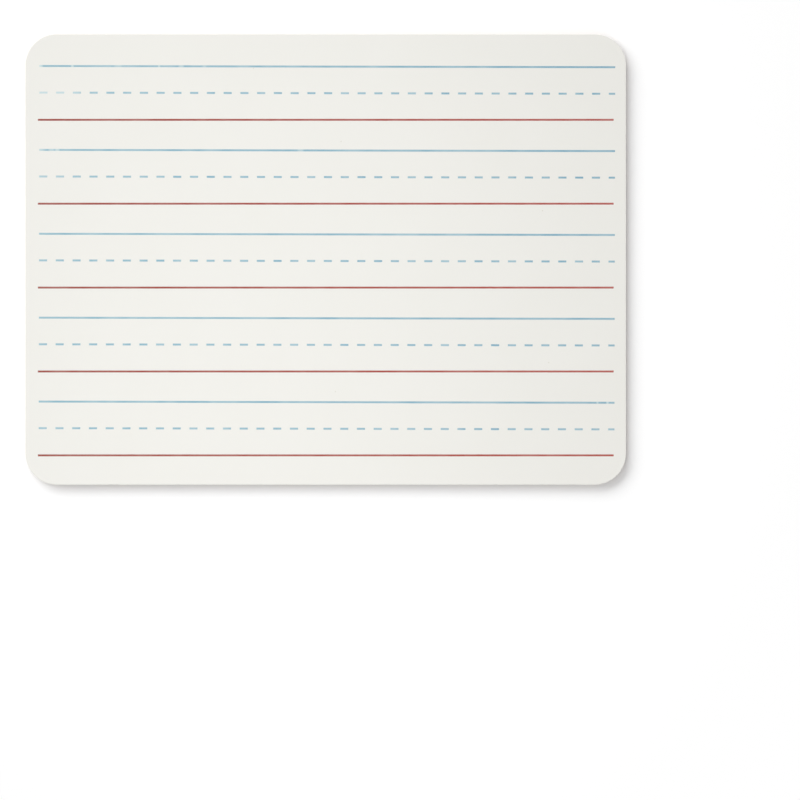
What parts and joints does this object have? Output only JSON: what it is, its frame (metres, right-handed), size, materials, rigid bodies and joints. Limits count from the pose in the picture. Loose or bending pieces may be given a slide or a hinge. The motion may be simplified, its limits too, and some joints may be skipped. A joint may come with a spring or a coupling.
{
  "type": "dry erase lapboard",
  "caption": "Flat double-sided dry erase lapboard with rounded corners: hardboard core, glossy white faces, one ruled with blue and red handwriting lines, the other plain.",
  "frame": {"origin": "middle of the plain face, on the surface that the board lies on", "axes": "+X along the ruled lines to the writer's right, +Y to the top row, +Z out of the lined face"},
  "size_m": [0.3048, 0.2286, 0.0032],
  "materials": {
    "hardboard": "sawn pressed-fibre edge, matt",
    "glue": "dried white glue, satin",
    "coated_face": "smooth dry erase lacquer, glossy",
    "blue_ink": "screen-printed ink under lacquer",
    "red_ink": "screen-printed ink under lacquer"
  },
  "bodies": {
    "root": {"hardboard_core": "hardboard", "lined_glue_film": "glue", "plain_glue_film": "glue", "lined_face_sheet": "coated_face", "plain_face_sheet": "coated_face", "head_line_1": "blue_ink", "head_line_2": "blue_ink", "head_line_3": "blue_ink", "head_line_4": "blue_ink", "head_line_5": "blue_ink", "mid_dashes_1": "blue_ink", "mid_dashes_2": "blue_ink", "mid_dashes_3": "blue_ink", "mid_dashes_4": "blue_ink", "mid_dashes_5": "blue_ink", "base_line_1": "red_ink", "base_line_2": "red_ink", "base_line_3": "red_ink", "base_line_4": "red_ink", "base_line_5": "red_ink"}
  },
  "joints": []
}
